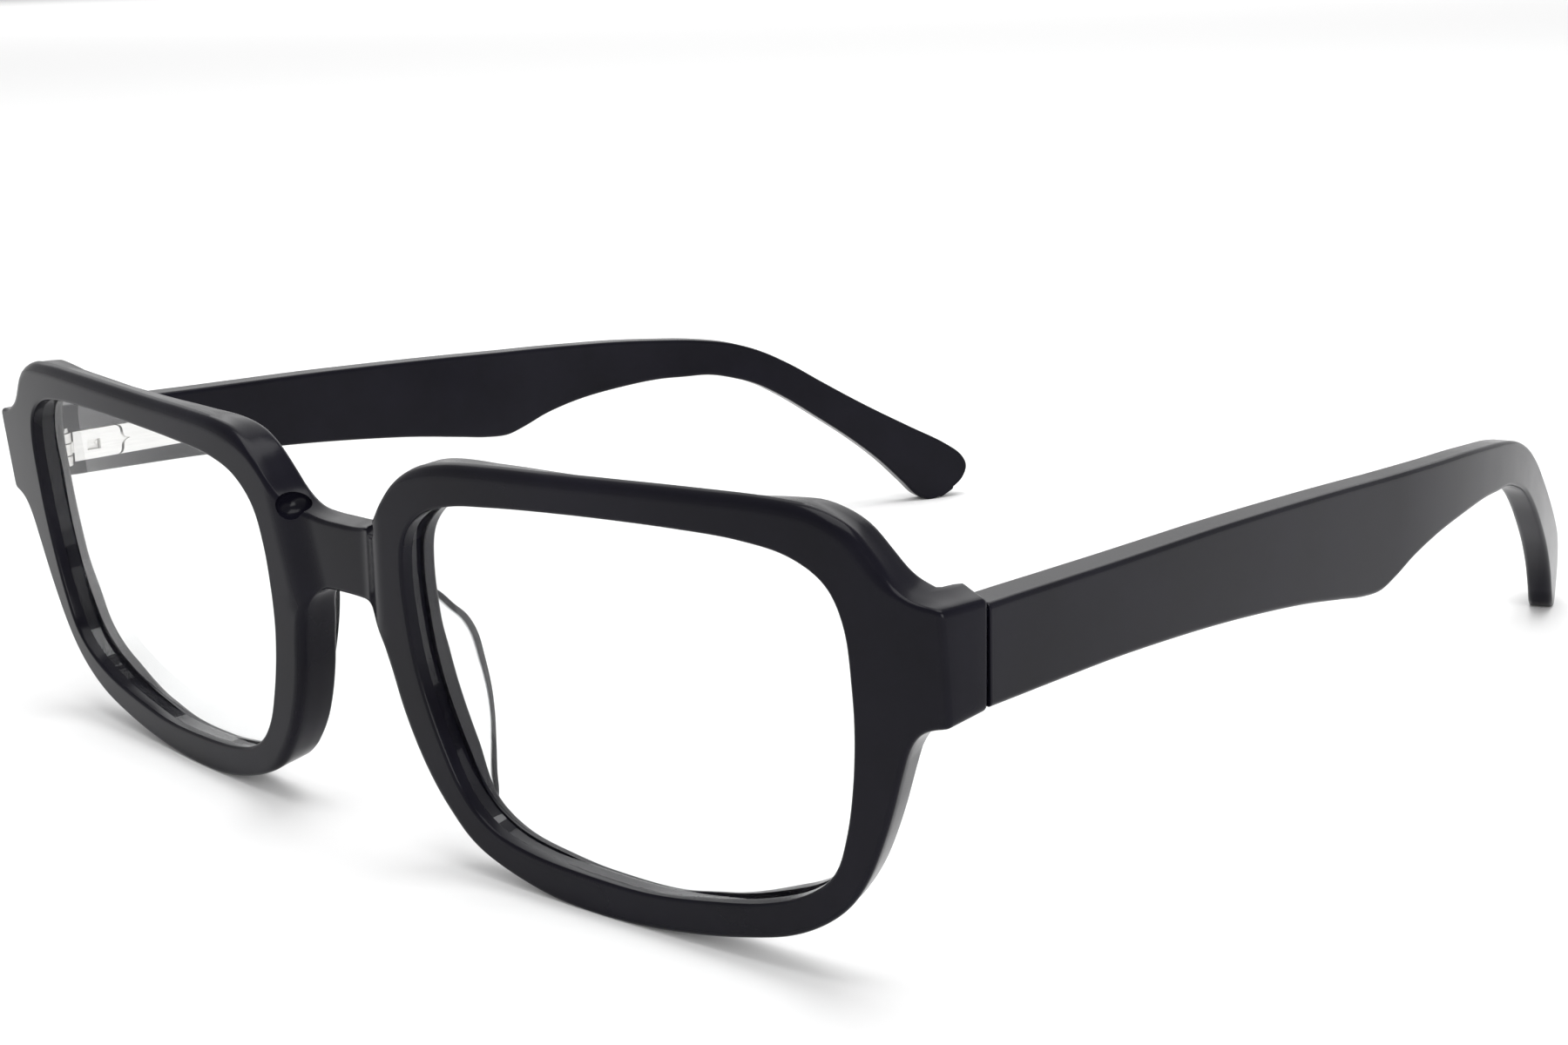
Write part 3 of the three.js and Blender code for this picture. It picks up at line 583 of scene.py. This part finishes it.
def spread(tree, source, low, high):
    """A noise value carried over to the range from low to high."""
    made = add(tree, "MapRange", [(source, "Value")])
    made.inputs["To Min"].default_value, made.inputs["To Max"].default_value = low, high
    return made.outputs["Result"]


def bumped(tree, shader, height, strength, distance):
    bump = add(tree, "Bump", [(height, "Height")], Strength=strength, Distance=distance)
    tree.links.new(bump.outputs["Normal"], shader.inputs["Normal"])


def blend(tree, share, first, second):
    """first where share is 0, second where it is 1; share is a number or an output."""
    mix = add(tree, "MixShader", [(first.outputs[0], 1), (second.outputs[0], 2)])
    if isinstance(share, float):
        mix.inputs[0].default_value = share
    else:
        tree.links.new(share, mix.inputs[0])
    return mix


def ramp_of(tree, source, low, high, start=0.3, end=0.7):
    made = add(tree, "ValToRGB", [(source, "Fac")])
    made.color_ramp.elements[0].position, made.color_ramp.elements[0].color = start, low
    made.color_ramp.elements[1].position, made.color_ramp.elements[1].color = end, high
    return made


def grey(value, tint=(1, 1, 1)):
    return (value * tint[0], value * tint[1], value * tint[2], 1)


def acetate(name, roughness):
    """Polished black cellulose acetate: a faint cloudiness, buffing haze and hair-fine polishing marks."""
    material, tree, shader, place = nodes_of(name)
    where = place.outputs["Object"]
    violet = (1, 0.93, 1.65)
    tone = ramp_of(tree, noise(tree, where, 90.0, 4.0, 0.55), grey(0.0032, violet), grey(0.0058, violet))
    tree.links.new(tone.outputs["Color"], shader.inputs["Base Color"])
    haze = spread(tree, noise(tree, where, 260.0, 5.0, 0.6), roughness - 0.05, roughness + 0.05)
    tree.links.new(haze, shader.inputs["Roughness"])
    stretch = add(tree, "Mapping", [(where, "Vector")], Scale=(1.0, 0.12, 1.6))
    marks = noise(tree, stretch.outputs["Vector"], 2600.0, 2.0)
    peel = noise(tree, where, 420.0, 1.0)
    both = add(tree, "Mix", [(marks, "A"), (peel, "B")], Factor=0.6)
    bumped(tree, shader, both.outputs["Result"], 0.1, 0.00003)
    shader.inputs["Specular IOR Level"].default_value = 0.11
    shader.inputs["IOR"].default_value = 1.49
    return material


def metal(name, value, roughness, tint, brushed=(1.0, 0.05, 1.0)):
    """Bare metal with a brushed grain."""
    material, tree, shader, place = nodes_of(name)
    stretch = add(tree, "Mapping", [(place.outputs["Object"], "Vector")], Scale=brushed)
    grain = noise(tree, stretch.outputs["Vector"], 5200.0, 3.0, 0.6)
    tone = ramp_of(tree, grain, grey(value * 0.9, tint), grey(value, tint))
    tree.links.new(tone.outputs["Color"], shader.inputs["Base Color"])
    rough = spread(tree, grain, roughness - 0.07, roughness + 0.07)
    tree.links.new(rough, shader.inputs["Roughness"])
    bumped(tree, shader, grain, 0.12, 0.00002)
    shader.inputs["Metallic"].default_value = 1.0
    return material


def see_through(name, noise_scale, clear_from, clear_to, gloss_from, gloss_to):
    """Parts of a clear material: its tree, where it ends, the light let through and the mirror."""
    material, tree, shader, place = nodes_of(name)
    tree.nodes.remove(shader)
    output = next(n for n in tree.nodes if n.type == "OUTPUT_MATERIAL")
    smear = noise(tree, place.outputs["Object"], noise_scale, 3.0)
    tone = ramp_of(tree, smear, clear_from, clear_to)
    through = add(tree, "BsdfTransparent", [(tone.outputs["Color"], "Color")])
    rough = spread(tree, smear, gloss_from, gloss_to)
    mirror = add(tree, "BsdfAnisotropic", [(rough, "Roughness")], Color=(1, 1, 1, 1))
    return material, tree, output.inputs["Surface"], through, mirror


def clear_lens(name):
    """Hard-coated clear plastic: it lets the light through and mirrors the room at grazing angles."""
    material, tree, surface, through, mirror = see_through(
        name, 45.0, (0.985, 0.99, 0.99, 1), (0.995, 0.998, 0.998, 1), 0.01, 0.035)
    facing = add(tree, "LayerWeight", Blend=0.5)
    steep = add(tree, "Math", [(facing.outputs["Facing"], 0)], operation="POWER")
    steep.inputs[1].default_value = 5.0
    share = add(tree, "Math", [(steep.outputs["Value"], 0)], operation="MULTIPLY_ADD")
    share.inputs[1].default_value, share.inputs[2].default_value = 0.6, 0.03  # anti-reflection coated
    mix = blend(tree, share.outputs["Value"], through, mirror)
    tree.links.new(mix.outputs["Shader"], surface)
    return material


def clear_acetate(name):
    """Clear acetate: seen through, with painted shade along its rounded rear edge, where a near-black matte
    colour stands in for the light that the edge bends away.
    """
    material, tree, surface, through, gloss = see_through(
        name, 160.0, (0.955, 0.96, 0.965, 1), (0.985, 0.985, 0.985, 1), 0.08, 0.16)
    # painted shade: a near-black matte colour laid on the rear edge in place of the light that the edge
    # bends away
    edge = add(tree, "BsdfDiffuse", Color=(0.012, 0.012, 0.015, 1))
    rim = add(tree, "Attribute", attribute_name="rear_edge_painted_shade")
    body = blend(tree, rim.outputs["Fac"], through, edge)
    mix = blend(tree, 0.02, body, gloss)
    tree.links.new(mix.outputs["Shader"], surface)
    return material


def coat(piece, material):
    """Every slot of a piece takes the material; a carried-over CAD node keeps its mesh."""
    if not piece.material_slots:
        piece.data.materials.append(material)
    for entry in piece.material_slots:
        entry.material = material


black_front = acetate("acetate_black_front", 0.2)
black_temple = acetate("acetate_black_temple", 0.22)
nickel = metal("nickel_brushed", 0.78, 0.3, (1, 0.985, 0.955))
nickel_plate = metal("nickel_plate", 0.86, 0.34, (1, 0.99, 0.97))
bright_steel = metal("steel_turned", 0.62, 0.24, (1, 0.99, 0.98), (1, 1, 1))
wire_steel = metal("steel_wire", 0.55, 0.3, (1, 0.98, 0.95))
lens_clear = clear_lens("lens_clear")
pad_clear = clear_acetate("acetate_clear_pad")


def use(piece, body, slot, material, *nodes):
    coat(piece, material)
    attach(piece, body)
    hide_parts(*nodes)


# ---- pieces ----
front = carve(front_mesh(), [scoop(side) for side in (-1, 1)])
use(front, "front", "acetate_front", black_front, "front_frame")

temple_left = temple_mesh()
start, half = PLATE["inner"], PLATE["half"] + FIT
temple_left = carve(temple_left, [
    hinge_cutter("cut_plate", rectangle(-2, PLATE["end"] + FIT, -half, half, 0.5),
                 start - 1, start + PLATE["thick"] + FIT),
    hinge_cutter("cut_box", rectangle(-2, 7.75, -1.63, 1.63), start - 1, BOX_OUTER + FIT),
    hinge_cutter("cut_tube", rectangle(7, 13.2, -1.1, 1.1, 1.05, 8), start + 0.3, 2.7),
])
use(temple_left, "side_left", "acetate_temple", black_temple, "temple_left")
temple_right = mirrored(temple_left, "acetate_temple_right")
use(temple_right, "side_right", "acetate_temple", black_temple, "temple_right")

for make, body, slot, material, node in (
    (lens_mesh, "front", "lens_clear", lens_clear, "lens"),
    (pad_mesh, "front", "acetate_pad", pad_clear, "nose_pad"),
):
    left = make()
    right = mirrored(left, left.name.replace("left", "right"))
    use(left, body, slot, material, node + "_left")
    use(right, body, slot, material, node + "_right")

for node, material in (("front_hinge", nickel), ("carriage", nickel), ("hinge_screw", bright_steel),
                       ("plunger", bright_steel), ("spring", wire_steel), ("spring_box", nickel_plate),
                       ("core_wire", wire_steel)):
    for side in ("left", "right"):
        coat(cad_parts[f"{node}_{side}"], material)

# ---- studio ----
floor = bpy.data.objects.new("studio_floor", bpy.data.meshes.new("studio_floor"))
floor.data.from_pydata([(-12, -12, 0), (12, -12, 0), (12, 12, 0), (-12, 12, 0)], [], [(0, 1, 2, 3)])
bpy.context.scene.collection.objects.link(floor)
paper = bpy.data.materials.new("studio_paper")
paper.use_nodes = True
for socket, value in (("Base Color", grey(0.9)), ("Roughness", 0.9), ("Specular IOR Level", 0.0)):
    paper.node_tree.nodes["Principled BSDF"].inputs[socket].default_value = value
floor.data.materials.append(paper)

world = bpy.data.worlds.new("studio")
bpy.context.scene.world = world
world.use_nodes = True
sky = world.node_tree
where = sky.nodes.new("ShaderNodeTexCoord")
split = add(sky, "SeparateXYZ", [(where.outputs["Generated"], "Vector")])
overhead = ramp_of(sky, split.outputs["Z"], grey(0.85), grey(0.48), 0.1, 0.6)
sky.links.new(overhead.outputs["Color"], sky.nodes["Background"].inputs["Color"])


def softbox(name, place, aim, size, watts):
    light = bpy.data.lights.new(name, "AREA")
    light.shape, light.size, light.size_y = "RECTANGLE", *size
    light.energy = watts
    box = bpy.data.objects.new(name, light)
    bpy.context.scene.collection.objects.link(box)
    box.location = place
    box.rotation_mode = "QUATERNION"
    box.rotation_quaternion = (Vector(aim) - Vector(place)).to_track_quat("-Z", "Y")


softbox("softbox_top", (0.1, 0.1, 1.8), (0, 0, 0.01), (1.4, 1.4), 26)
softbox("softbox_side", (0.9, -0.3, 0.32), (0, -0.05, 0.03), (0.45, 0.5), 4.5)
softbox("softbox_rear", (-4.2, 4.4, 2.6), (-4.2, 4.4, 0), (7, 7), 170)

# ---- camera ----
camera = bpy.data.objects.new("camera", bpy.data.cameras.new("camera"))
bpy.context.scene.collection.objects.link(camera)
bpy.context.scene.camera = camera
camera.data.sensor_width = 36
camera.data.lens = 53.74
camera.data.clip_start, camera.data.clip_end = 0.01, 50
right = Vector((0.72538, 0.68776, -0.02854)).normalized()
back = Vector((0.67366, -0.70077, 0.23475))
back = (back - right * back.dot(right)).normalized()
up = back.cross(right)
eye = metres([(178.14, -124.218, 81.88)])[0]
camera.matrix_world = Matrix.Translation(eye) @ Matrix((right, up, back)).transposed().to_4x4()
bpy.context.scene.view_settings.view_transform = "Standard"
